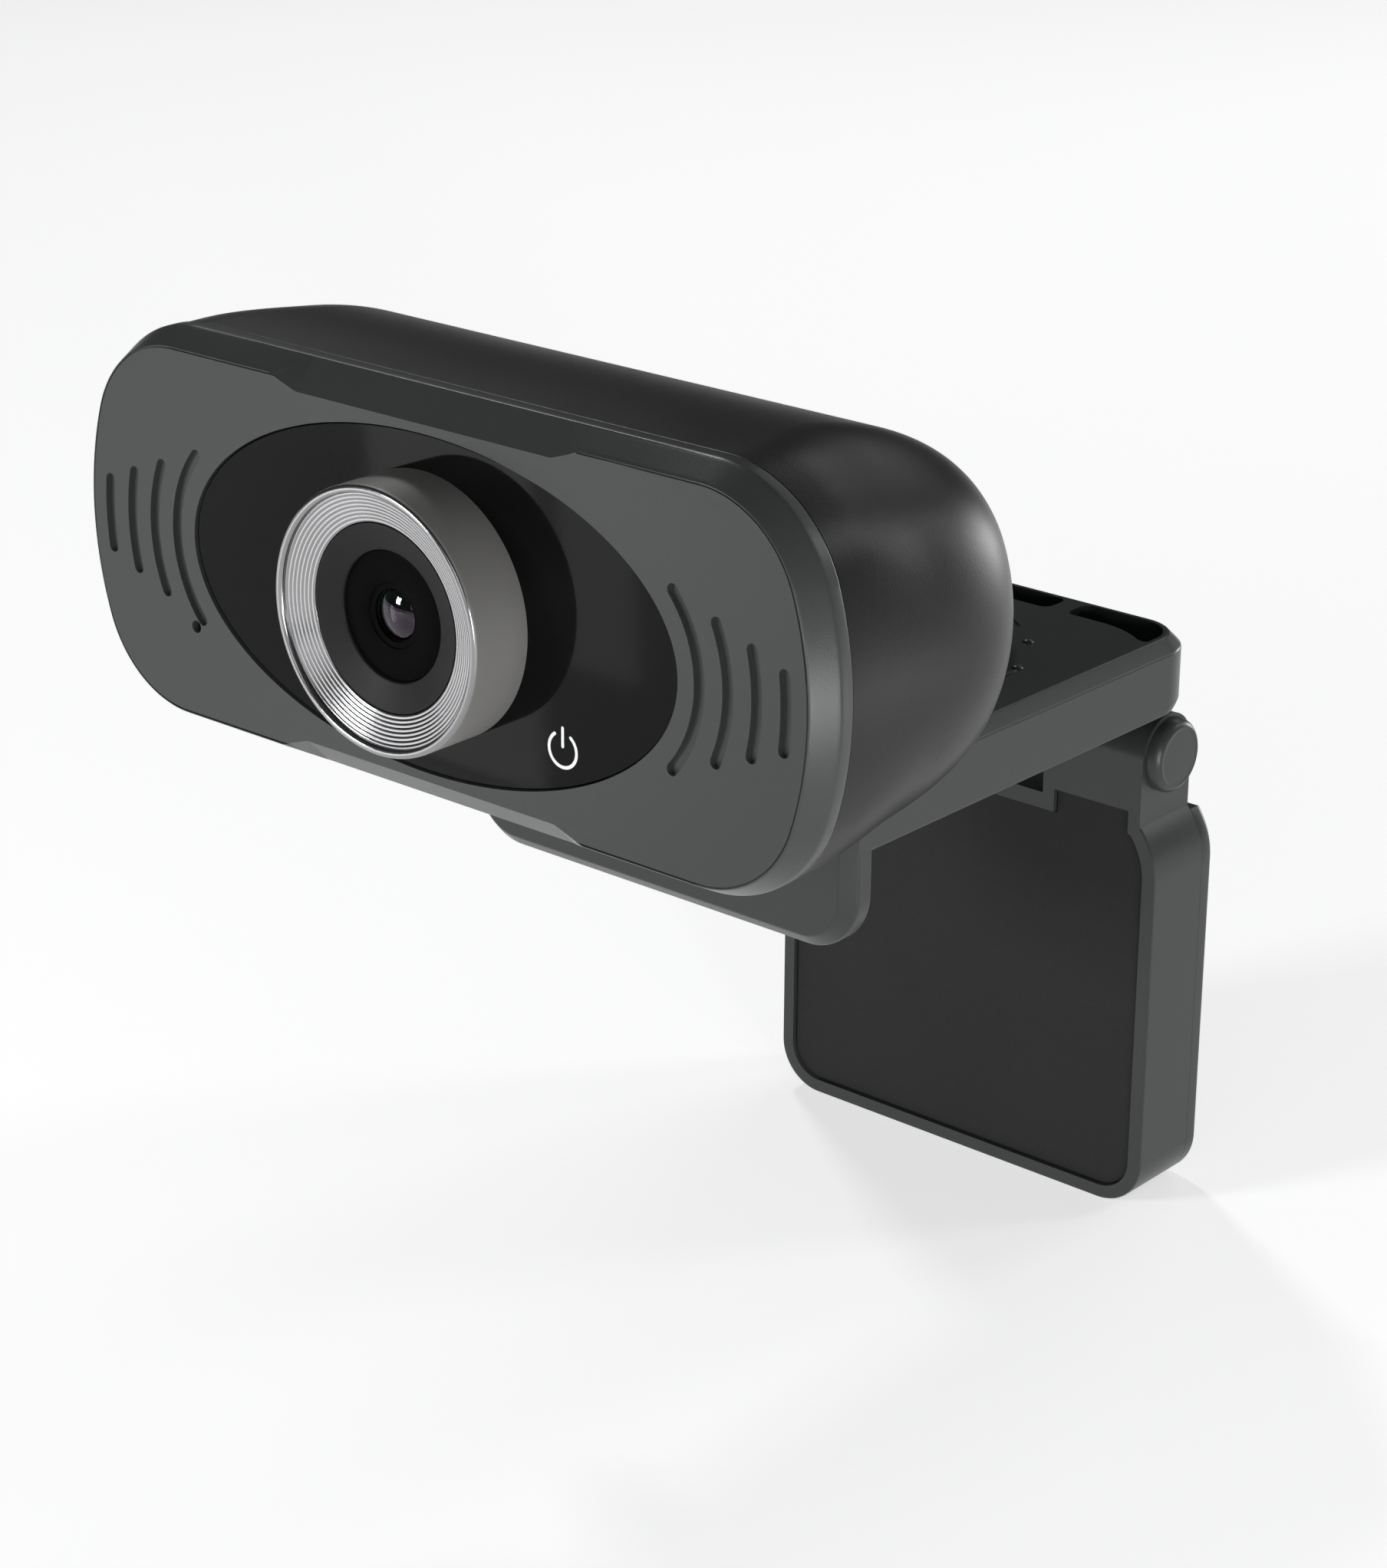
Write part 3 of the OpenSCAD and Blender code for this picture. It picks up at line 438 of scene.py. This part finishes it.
def make_shell():
    """The rear shell: one closed cup with a wall of 2 mm and a rounded front edge."""
    wall, steps = 2, 44
    us = [math.sin(0.5 * math.pi * i / steps) for i in range(1, steps)]
    outer = [head_ring(shell_ring(0, 0), SHELL_Y)]
    outer += [head_ring(shell_ring(u, 0), SHELL_Y + SHELL_DEPTH * u) for u in us]
    front = [head_ring(shell_ring(0, 0.25), RIM_Y), head_ring(shell_ring(0, 0.05), RIM_Y + 0.1),
             head_ring(shell_ring(0, 0), RIM_Y + 0.3)]
    inner = [head_ring(shell_ring(0, wall), SHELL_Y)]
    inner += [head_ring(shell_ring(u, wall), SHELL_Y + (SHELL_DEPTH - wall) * u) for u in us]
    rings = inner[::-1] + [head_ring(shell_ring(0, wall), RIM_Y)] + front + outer
    obj = add_mesh("rear_shell_skin", loft(rings), dark_plastic, "head")
    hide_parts("rear_shell")
    smooth(obj, 60)


make_bezel()
make_shell()


def make_panel():
    """The oval glossy panel, with a rounded edge and a round hole for the lens ring's neck."""
    hole = oval(NECK_R, NECK_R)
    rings = [oval(PANEL_HX - inset, PANEL_HZ - inset) for inset in (0, 0, 0.04, 0.15)] + [hole, hole]
    depths = [PANEL_REAR, 0.46, 0.36, 0.3, 0.3, PANEL_REAR]
    bm = loft([head_ring(r, d) for r, d in zip(rings, depths)], close=True)
    obj = add_mesh("glossy_panel_skin", bm, gloss_black, "head")
    smooth(obj, 50)
    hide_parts("glossy_panel")


def make_icon():
    """The power symbol: an open ring with round ends, and a short upright stroke in its gap."""
    cx, cz, r, w = 17.9, -10.4, 1.76, 0.17
    right, left = math.radians(55), math.radians(125)
    line = arc(0, 0, r + w, 125, 415, 64)
    line += arc(r * math.cos(right), r * math.sin(right), w, 55, 235, 8)[1:]
    line += arc(0, 0, r - w, 415, 125, 64)
    line += arc(r * math.cos(left), r * math.sin(left), w, 305, 485, 8)[1:-1]
    bar = arc(0, 2.2, w, 0, 180, 8) + arc(0, 0.35, w, 180, 360, 8)
    front, rear = FACE_Y + 0.285, FACE_Y + 1.4
    bm = prism_y(shift(line, cx, HEAD_Z + cz), front, rear)
    stroke = prism_y(shift(bar, cx, HEAD_Z + cz), front, rear)
    extra = bpy.data.meshes.new("stroke")
    stroke.to_mesh(extra)
    stroke.free()
    bm.from_mesh(extra)
    bpy.data.meshes.remove(extra)
    obj = add_mesh("power_icon_inlay", bm, white_icon, "head")
    smooth(obj)
    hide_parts("power_icon")


make_panel()
make_icon()


# The lens ring's radius, the radius inside its cone, and the depths of its front and of the cone's foot.
RING_R, CONE_R, RING_FRONT, CONE_DEEP = 13.5, 9.45, -6.9, -5.2


def cone_steps(outer_r, start, count=8):
    """The profile of the turned grooves in the ring's cone, from its outer edge inwards."""
    step_r, step_y = (outer_r - CONE_R) / count, (CONE_DEEP - start) / count
    profile = []
    for i in range(count):
        r, y = outer_r - step_r * i, start + step_y * i
        profile += [(r, y), (r - step_r * 0.25, y - 0.02), (r - step_r * 0.62, y + 0.01),
                    (r - step_r * 0.86, y + step_y * 0.8)]
    return profile


def make_ring():
    """The bright ring: a neck in the bezel, a satin side, a round rim and a cone with turned grooves."""
    rim, neck_r, neck_end, seat = 0.45, 11.9, 3.6, 0.31
    profile = [(CONE_R, neck_end), (neck_r, neck_end), (neck_r, seat), (RING_R, seat),
               (RING_R, RING_FRONT + rim + 0.15)]
    profile += [(RING_R - rim + rim * math.cos(a), RING_FRONT + rim - rim * math.sin(a))
                for a in (math.radians(180 * i / 12) for i in range(13))]
    profile += cone_steps(RING_R - 2 * rim, RING_FRONT + rim + 0.1)
    profile += [(CONE_R + 0.06, CONE_DEEP), (CONE_R, CONE_DEEP + 0.08)]
    obj = add_mesh("lens_ring_turned", revolve(profile, 256), silver, "head")
    obj.data.materials.append(sleeve)
    for face in obj.data.polygons:
        centre = face.center
        outside = math.hypot(centre.x, centre.z - HEAD_Z * MM) > (RING_R - 0.06) * MM
        if outside and centre.y > (FACE_Y + RING_FRONT + 0.12) * MM:
            face.material_index = 1
    smooth(obj, 40)
    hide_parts("lens_ring")


def make_baffle():
    """The dark ring that slopes from the foot of the cone down to the disc."""
    baffle = [(9.43, -5.18), (9.38, -5.26), (9.2, -5.24), (6.75, -4.4), (6.6, -4.32), (6.55, -4.2),
              (6.55, -3.4), (9.43, -3.4)]
    obj = add_mesh("baffle_ring_turned", revolve(baffle), anodised, "head")
    smooth(obj, 40)
    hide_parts("baffle_ring")


def make_disc():
    """The flat black disc, with a small step round the front glass."""
    disc = [(6.5, -4.0), (6.48, -4.08), (6.4, -4.12), (3.4, -4.06), (3.3, -4.02), (3.22, -3.9), (2.9, -3.82),
            (2.7, -3.86), (2.62, -3.8), (2.62, -3.5), (6.5, -3.5)]
    obj = add_mesh("aperture_disc_turned", revolve(disc), disc_black, "head")
    smooth(obj, 40)
    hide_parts("aperture_disc")


def make_front_glass():
    """The front glass: a dome of clear glass with a dark coated back."""
    rise, edge, r0 = 0.75, -3.45, 2.58
    radius = (r0 * r0 + rise * rise) / (2 * rise)
    turn = math.asin(r0 / radius)
    dome = [(radius * math.sin(turn * i / 12), edge - rise + radius - radius * math.cos(turn * i / 12))
            for i in range(1, 13)]
    rear = [(r0, -0.2), (2.3, -0.2), (1.6, -0.55), (0.8, -0.72), (0.05, -0.78)]
    rings = [(0.05, edge - rise + 0.0005)] + dome + rear
    obj = add_mesh("front_lens_dome", revolve(rings, 96, close=False), lens_glass, "head")
    obj.data.materials.append(inner_glass)
    for face in obj.data.polygons:
        face.material_index = int(face.center.y > (FACE_Y + edge + 1) * MM)
    smooth(obj, 50)
    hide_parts("front_lens")


def make_iris():
    """A small ring behind the front glass, which stands for no CAD node."""
    iris = [(1.5, 0.6), (2.5, 0.35), (2.56, 0.3), (3.3, 0.3), (3.3, 0.9), (1.5, 0.9)]
    obj = add_mesh("lens_iris", revolve(iris, 64), disc_black, "head")
    smooth(obj, 40)


make_ring()
make_baffle()
make_disc()
make_front_glass()
make_iris()


# ---------------------------------------------------------------- clip

# The hinge axis between the arm and the leg, and the radii of its knuckles, bush and pin.
HINGE_Y, HINGE_Z, KNUCKLE_R, BUSH_R, PIN_R = 26.4, -5.7, 4.8, 3, 2.0
# The arm's half width, its ends along Y, its top and underside, and the bevel along its edges.
ARM_HX, ARM_FRONT, ARM_REAR, ARM_TOP, ARM_LOW, ARM_CUT = 26.7, -33.7, 29.5, 9.0, 0.4, 1.5
ARM_CORNER, LIP_LOW, LIP_TOP = 6.5, -11.0, 4.0
# The pockets in the arm's top: their front and rear edges, and the radius of their corners.
POCKET_FRONT, POCKET_REAR, POCKET_R = 23.4, 27.4, 1.2


def arm_plan(inset, rear_cut=0.0):
    """The arm seen from above: round corners at the back and cut corners at the front."""
    side, front, rear = ARM_HX - inset, ARM_FRONT + inset, ARM_REAR - rear_cut
    right = arc(ARM_HX - ARM_CORNER, rear - ARM_CORNER, ARM_CORNER - inset, 0, 90, 24)
    left = [(-x, y) for x, y in right[::-1]]
    cut = side - ARM_CUT
    return right + left + [(-side, front + ARM_CUT), (-cut, front), (cut, front), (side, front + ARM_CUT)]


def lip_outline(inset):
    """The hanging front lip, seen from the front."""
    low = LIP_LOW + ARM_CORNER
    left = arc(-ARM_HX + ARM_CORNER, low, ARM_CORNER - inset, 180, 270, 24)
    right = arc(ARM_HX - ARM_CORNER, low, ARM_CORNER - inset, 270, 360, 24)
    return left + right + [(ARM_HX - inset, LIP_TOP), (-ARM_HX + inset, LIP_TOP)]


def slab_y(outline_of, levels):
    """A plate across Y: its outline at each level is drawn in by that level's inset."""
    return loft([[(x, y, z) for x, z in outline_of(inset)] for inset, y in levels])


def pocket_middle():
    """The middle pocket in the arm's top."""
    x = 9.4 - POCKET_R
    right = arc(x, POCKET_FRONT + POCKET_R, POCKET_R, -90, 0, 6)
    right += arc(x, POCKET_REAR - POCKET_R, POCKET_R, 0, 90, 6)
    return right + [(-x, y) for x, y in right[::-1]]


def pocket_corner(side):
    """The outer pockets in the arm's top run along its rear edge and round the clip's corner."""
    x = 11.9 + POCKET_R
    line = arc(20.2, 23.0, 4.4, 90, 0, 16)
    line += arc(24.1, 21.6, 0.5, 0, -120, 6)
    line += arc(16.6, 12.0, 11.4, 54, 90, 10)
    line += arc(x, POCKET_FRONT + POCKET_R, POCKET_R, 270, 180, 6)
    line += arc(x, POCKET_REAR - POCKET_R, POCKET_R, 180, 90, 6)
    return line if side > 0 else [(-x, y) for x, y in line[::-1]]


def arm_marks():
    """Raised bumps and short ridges beside the turntable, on the right-hand side of the arm's top."""
    bump_r, bump_top, ridge_r, sunk = 0.62, 0.34, 0.22, -0.3
    turns = [math.radians(a) for a in range(0, 90, 15)]
    dome = [(bump_r * math.cos(a), bump_top * math.sin(a)) for a in turns]
    marks = []
    round_turns = [math.tau * i / 20 for i in range(20)]
    for x, y in ((14.7, 12.5), (18.9, 4.8)):
        marks.append([[(x + r * math.cos(a), y + r * math.sin(a), ARM_TOP + z) for a in round_turns]
                      for r, z in [(bump_r, sunk)] + dome + [(0.04, 0.345)]])
    for (x0, y0), (x1, y1) in (((8.4, 18.1), (10.5, 16.65)), ((19.45, 1.7), (19.4, 3.6))):
        along = Vector((x1 - x0, y1 - y0)).normalized()
        turn = math.degrees(math.atan2(along.y, along.x))
        line = arc(x1, y1, ridge_r, turn - 90, turn + 90, 6)
        line += arc(x0, y0, ridge_r, turn + 90, turn + 270, 6)
        marks.append([[(x, y, ARM_TOP + z) for x, y in line] for z in (sunk, ridge_r)])
    return marks


def make_arm():
    """The clip arm: a bevelled block with its lip, its knuckle and the pockets, seats and marks on it."""
    bevel = ARM_TOP - ARM_CUT
    # Each level's inset, what its rear edge is cut back by, and its height.
    levels = ((0.25, 1.0, ARM_LOW), (0.08, 0.8, ARM_LOW + 0.1), (0, 0.6, ARM_LOW + 0.4),
              (0, 0.1, ARM_LOW + 0.95), (0, 0, ARM_LOW + 1.1), (0, 0, bevel - 0.15), (0.05, 0, bevel + 0.03),
              (0.18, 0, bevel + 0.18), (ARM_CUT - 0.18, 0, ARM_TOP - 0.16),
              (ARM_CUT - 0.02, 0, ARM_TOP - 0.04), (ARM_CUT + 0.2, 0, ARM_TOP))
    block = loft([[(x, y, z) for x, y in arm_plan(inset, rear_cut)] for inset, rear_cut, z in levels])
    obj = add_mesh("clip_arm_body", block, clip_plastic, "clip")
    lip = slab_y(lip_outline, ((1.7, ARM_FRONT), (1.52, ARM_FRONT + 0.03), (1.35, ARM_FRONT + 0.16),
                               (0.16, ARM_FRONT + 1.34), (0.03, ARM_FRONT + 1.55), (0, ARM_FRONT + 1.8),
                               (0, ARM_FRONT + 3.4), (0.06, ARM_FRONT + 3.58), (0.25, ARM_FRONT + 3.65)))
    combine(obj, lip, "UNION")
    knuckle = arc(HINGE_Y, HINGE_Z, KNUCKLE_R, 180, 409.8, 48) + [(29.5, 1.4), (21.6, 1.4)]
    combine(obj, prism_x(knuckle, -10.8, 10.8), "UNION")
    for outline in (pocket_middle(), pocket_corner(1), pocket_corner(-1)):
        combine(obj, prism_z(outline, ARM_TOP - 5, ARM_TOP + 1))
    # The seat of the cover, the room for the swivel's nut, its stud's hole, and the turntable's seat.
    combine(obj, prism_z(rect(-22, 22, -28.5, 18), -1, 1.9))
    combine(obj, prism_z(circle(0, 0, 11, 60), -1, 4.9))
    combine(obj, prism_z(circle(0, 0, 4.05, 36), -1, 20))
    combine(obj, prism_z(circle(0, 0, 15.05, 90), ARM_TOP - 0.6, 20))
    combine(obj, prism_x(circle(HINGE_Y, HINGE_Z, BUSH_R, 36), -20, 20))
    for side in (-1, 1):
        for rings in arm_marks():
            combine(obj, loft([[(side * x, y, z) for x, y, z in ring] for ring in rings]), "UNION")
    soften(obj, 0.12)
    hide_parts("clip_arm")


make_arm()


# ---------------------------------------------------------------- leg

# The leg's half width, its front and back, its ends along Z, and the width of the frame round its pad.
LEG_HX, LEG_FRONT, LEG_BACK, LEG_LOW, LEG_TOP, FRAME_W = 27.0, 21.6, 33.4, -61.2, -11.8, 1.8
LEG_CORNER, SHOULDER_R, SHOULDER_Z = 5.8, 9.9, -19.8
# The back cover starts at COVER_Y. Its screws, one to a corner, go through posts of the frame.
COVER_Y = LEG_BACK - 2.2
SCREW_X, SCREW_ZS, SCREW_POST_R, SCREW_R = 19, (-22, -54), 2.6, 1.0


def leg_outline(inset, top):
    """The leg seen from the front, with round corners and shoulders, and level at its top."""
    reach = math.degrees(math.asin((top - SHOULDER_Z) / (SHOULDER_R - inset)))
    right = arc(LEG_HX - LEG_CORNER, LEG_LOW + LEG_CORNER, LEG_CORNER - inset, 270, 360, 20)
    right += arc(LEG_HX - SHOULDER_R, SHOULDER_Z, SHOULDER_R - inset, 0, reach, 40)
    return right + [(-x, z) for x, z in right[::-1]]


def pad_outline(grow):
    """The leg's pad seen from the front: it fills the frame and has a step up at each hinge tab."""
    step_in, step_out, low, high = 12.8 - grow, 22.9 + grow, -14.6 + grow, LEG_TOP + grow
    edge = [(x, z) for x, z in leg_outline(FRAME_W - grow, low) if x >= 0]
    right = edge + [(step_out, low), (step_out, high), (step_in, high), (step_in, low)]
    return right + [(-x, z) for x, z in right[::-1]]


def make_frame():
    """The leg's frame: a shallow tray with two hinge tabs, open at the back under its cover."""
    front, tab_in, tab_out = LEG_FRONT, 11.1, 24.6
    rings = ((0.3, front), (0.1, front + 0.08), (0, front + 0.3), (0, COVER_Y - 0.03), (0.03, COVER_Y))
    plate = slab_y(lambda inset: leg_outline(inset, LEG_TOP), rings)
    obj = add_mesh("leg_frame_body", plate, clip_plastic, "leg")
    tab = arc(HINGE_Y, HINGE_Z, KNUCKLE_R, 0, 180, 40) + [(front, -20), (COVER_Y, -20)]
    for side in (-1, 1):
        x0, x1 = sorted((side * tab_in, side * tab_out))
        combine(obj, prism_x(tab, x0, x1), "UNION")
    # The pad's seat, the gap for the arm's knuckle, the pin's hole, and the hollow behind the front wall.
    combine(obj, prism_y(pad_outline(0.1), front - 1, front + 1.2))
    combine(obj, prism_y(rect(-tab_in, tab_in, -12.5, 5), front - 2, front + 20))
    combine(obj, prism_x(circle(HINGE_Y, HINGE_Z, PIN_R, 36), -40, 40))
    combine(obj, prism_y(leg_outline(2.0, -16.8), front + 3.7, front + 20))
    for sx in (-1, 1):
        for z in SCREW_ZS:
            combine(obj, prism_y(circle(sx * SCREW_X, z, SCREW_POST_R, 24), front + 3, COVER_Y), "UNION")
            combine(obj, prism_y(circle(sx * SCREW_X, z, SCREW_R, 18), front - 1, COVER_Y + 1))
    soften(obj, 0.12)
    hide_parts("leg_frame")


def make_cover():
    """The leg's back cover, with a rounded edge and the hole for the tripod thread's insert."""
    rings = ((0.03, COVER_Y + 0.01), (0, COVER_Y + 0.04), (0, LEG_BACK - 0.75), (0.05, LEG_BACK - 0.5),
             (0.2, LEG_BACK - 0.22), (0.44, LEG_BACK - 0.06), (0.75, LEG_BACK))
    plate = slab_y(lambda inset: leg_outline(inset, LEG_TOP - 2 - inset), rings)
    obj = add_mesh("leg_cover_body", plate, clip_plastic, "leg")
    combine(obj, prism_y(circle(0, -40, 4.5, 36), LEG_FRONT, LEG_BACK + 2))
    soften(obj, 0.1)
    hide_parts("leg_cover")


def make_pad():
    """The rubber pad in the leg's front, just below the frame's edge."""
    rings = ((0, LEG_FRONT + 1.2), (0, LEG_FRONT + 0.62), (0.1, LEG_FRONT + 0.52), (0.25, LEG_FRONT + 0.5))
    sheet = slab_y(lambda inset: pad_outline(-inset), rings)
    obj = add_mesh("leg_pad_sheet", sheet, rubber, "leg")
    smooth(obj)
    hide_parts("leg_pad")


def make_caps():
    """The caps on the ends of the hinge pin, each a low button with a fine ring in its face."""
    # Radius, and distance from the middle of the leg.
    profile = [(0.02, 26.32), (3.0, 26.32), (3.3, 26.3), (3.44, 26.36), (3.6, 26.34), (3.95, 26.1),
               (4.2, 25.8), (4.32, 25.45), (4.3, 24.62), (0.02, 24.62)]
    turns = [math.tau * i / 64 for i in range(64)]
    for side in (-1, 1):
        rings = [[(side * x, HINGE_Y + r * math.cos(a), HINGE_Z + r * math.sin(a)) for a in turns]
                 for r, x in profile]
        obj = add_mesh("hinge_cap_" + ("left" if side < 0 else "right"), loft(rings), clip_plastic, "leg")
        smooth(obj, 50)
        if side > 0:
            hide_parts("hinge_caps")


make_frame()
make_cover()
make_pad()
make_caps()


# ---------------------------------------------------------------- stage

def paper():
    """The floor's white paper, a little brighter than the light on it makes it."""
    mat = surface("floor_paper", (0.93, 0.93, 0.93), 0.7, spread=0.01, bump=0.0, blotch=1.5,
                  rough_spread=0.02)
    shader = mat.node_tree.nodes["Principled BSDF"]
    shader.inputs["Emission Color"].default_value = (1.0, 1.0, 1.0, 1.0)
    shader.inputs["Emission Strength"].default_value = 0.52
    return mat


def add_floor():
    """A plain floor, level with the lowest point of the object."""
    bm = bmesh.new()
    size, z = 6.0, cad_box[0][2]
    verts = [bm.verts.new((x, y, z)) for x, y in ((-size, -size), (size, -size), (size, size), (-size, size))]
    bm.faces.new(verts)
    mesh = bpy.data.meshes.new("floor")
    bm.to_mesh(mesh)
    bm.free()
    floor = bpy.data.objects.new("floor", mesh)
    bpy.context.scene.collection.objects.link(floor)
    mesh.materials.append(paper())


def add_area(name, where, size, size_y, power, target=(0.0, -0.02, 0.0)):
    """A soft light at a place in metres, turned towards its target."""
    light = bpy.data.lights.new(name, "AREA")
    light.shape = "RECTANGLE"
    light.size, light.size_y, light.energy = size, size_y, power
    obj = bpy.data.objects.new(name, light)
    obj.location = where
    obj.rotation_euler = (Vector(target) - Vector(where)).to_track_quat("-Z", "Y").to_euler()
    obj.visible_camera = False
    bpy.context.scene.collection.objects.link(obj)


add_floor()
add_area("key_left", (-0.35, -0.7, 0.2), 0.17, 0.17, 2.6)
add_area("front_right", (0.5, -1.4, 0.4), 0.8, 0.6, 2.0)
add_area("right_strip", (0.85, -0.59, 0.03), 0.08, 0.25, 3.6)
add_area("back_top", (-0.06, 0.95, 0.67), 0.7, 0.25, 1.0)
add_area("back_low", (0.2, 1.15, 0.05), 0.3, 0.3, 3.6)
add_area("back_right", (0.62, 0.84, 0.58), 0.2, 0.3, 1.4)
add_area("edge_light", (-0.73, 0.48, 0.83), 0.15, 0.15, 2.2)
add_area("chamfer_glow", (0.27, -0.08, -0.045), 0.05, 0.1, 0.34, target=(0.05, -0.065, 0.03))
add_area("rim_glow", (0.2, 0.115, -0.045), 0.04, 0.05, 0.025, target=(0.05, -0.063, 0.035))
add_area("panel_band_wide", (-0.124, -0.197, -0.015), 0.035, 0.09, 0.016, target=(-0.124, 0.0, -0.015))
add_area("panel_band_thin", (-0.0943, -0.197, -0.0075), 0.0146, 0.055, 0.003, target=(-0.0943, 0.0, -0.0075))

world = bpy.data.worlds.new("studio")
bpy.context.scene.world = world
world.use_nodes = True
world.node_tree.nodes["Background"].inputs["Color"].default_value = (0.95, 0.97, 1.0, 1.0)
world.node_tree.nodes["Background"].inputs["Strength"].default_value = 0.07

bpy.context.scene.view_settings.view_transform = "Standard"
bpy.context.scene.view_settings.look = "None"
